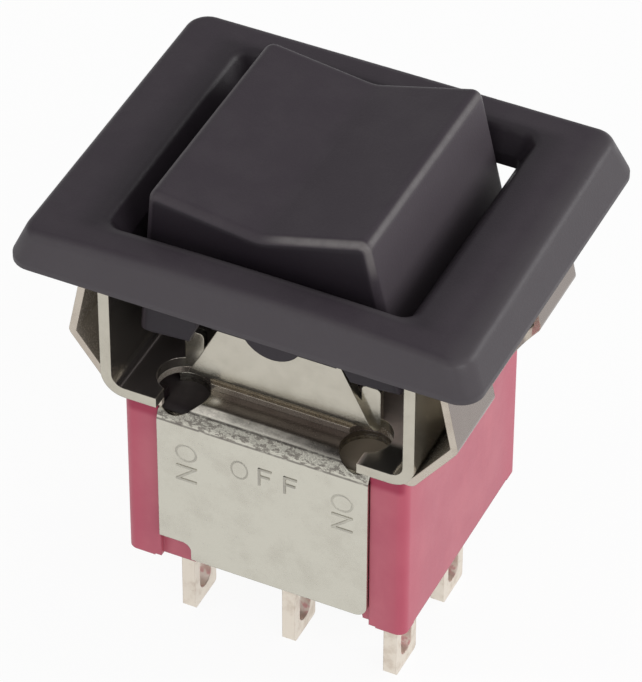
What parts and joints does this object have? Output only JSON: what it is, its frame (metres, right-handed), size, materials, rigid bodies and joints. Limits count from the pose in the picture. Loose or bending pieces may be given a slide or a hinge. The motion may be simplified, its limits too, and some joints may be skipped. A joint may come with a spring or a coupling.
{
  "type": "rocker switch",
  "caption": "Miniature snap-in rocker switch: black rocker in a rectangular bezel, stamped steel bracket with spring leaves, red case with stamped cover and solder lugs.",
  "frame": {"origin": "middle of the switch at the level of the solder lugs' tips", "axes": "+Z from the lugs up to the rocker; X along the rocking direction; Y along the rocker's pivot; -Y is the stamped front"},
  "size_m": [0.0202, 0.0162, 0.0249],
  "materials": {
    "bezel_plastic": "fine matt black moulding",
    "rocker_plastic": "fine matt black moulding",
    "case_plastic": "satin red moulding",
    "cover_steel": "matt nickel plate, stamped lettering",
    "bracket_steel": "matt nickel plate",
    "clip_steel": "nickel plated spring steel",
    "lug_plating": "silver plated",
    "arm_silver": "silver plated",
    "contact_silver": "bright silver",
    "pin_steel": "drawn steel",
    "spring_steel": "drawn spring wire",
    "plunger_nylon": "natural nylon",
    "inner_plastic": "matt black moulding",
    "seal_resin": "cast resin, slightly glossy"
  },
  "bodies": {
    "housing": {"bezel": "bezel_plastic", "bracket": "bracket_steel", "case": "case_plastic", "cover": "cover_steel", "fixed_contacts": "contact_silver", "lever_guide": "inner_plastic", "lever_pin": "pin_steel", "lug_front_centre": "lug_plating", "lug_front_left": "lug_plating", "lug_front_right": "lug_plating", "lug_rear_centre": "lug_plating", "lug_rear_left": "lug_plating", "lug_rear_right": "lug_plating", "rocker_pin": "pin_steel", "snap_clip": "clip_steel", "terminal_seal": "seal_resin"},
    "rocker": {"rocker": "rocker_plastic"},
    "lever": {"lever": "inner_plastic", "plunger_spring_front": "spring_steel", "plunger_spring_rear": "spring_steel"},
    "plunger_front": {"plunger_front": "plunger_nylon"},
    "plunger_rear": {"plunger_rear": "plunger_nylon"},
    "arm_front": {"contact_arm_front": "arm_silver", "arm_contacts_front": "contact_silver"},
    "arm_rear": {"contact_arm_rear": "arm_silver", "arm_contacts_rear": "contact_silver"}
  },
  "joints": [
    {"name": "rocker_tilt", "type": "hinge", "parent": "housing", "child": "rocker", "pos_m": [0, 0, 0.01995], "axis": [0, 1, 0], "range_deg": [0, 8.4]},
    {"name": "lever_tilt", "type": "hinge", "parent": "housing", "child": "lever", "pos_m": [0, 0, 0.0121], "axis": [0, 1, 0], "range_deg": [-16.5, 0]},
    {"name": "arm_tilt_front", "type": "hinge", "parent": "housing", "child": "arm_front", "pos_m": [0, -0.00242, 0.00762], "axis": [0, 1, 0], "range_deg": [0, 12.6]},
    {"name": "arm_tilt_rear", "type": "hinge", "parent": "housing", "child": "arm_rear", "pos_m": [0, 0.00242, 0.00762], "axis": [0, 1, 0], "range_deg": [0, 12.6]},
    {"name": "plunger_slide_front", "type": "slide", "parent": "lever", "child": "plunger_front", "axis": [0.1434, 0, 0.9897], "range_m": [0, 0.0003], "stiffness_N_per_m": 400, "deforming": ["plunger_spring_front"]},
    {"name": "plunger_slide_rear", "type": "slide", "parent": "lever", "child": "plunger_rear", "axis": [0.1434, 0, 0.9897], "range_m": [0, 0.0003], "stiffness_N_per_m": 400, "deforming": ["plunger_spring_rear"]}
  ],
  "couplings": [
    {"joint": "lever_tilt", "follows": "rocker_tilt", "ratio": -1.9623},
    {"joint": "arm_tilt_front", "follows": "rocker_tilt", "ratio": 1.5},
    {"joint": "arm_tilt_rear", "follows": "rocker_tilt", "ratio": 1.5}
  ]
}
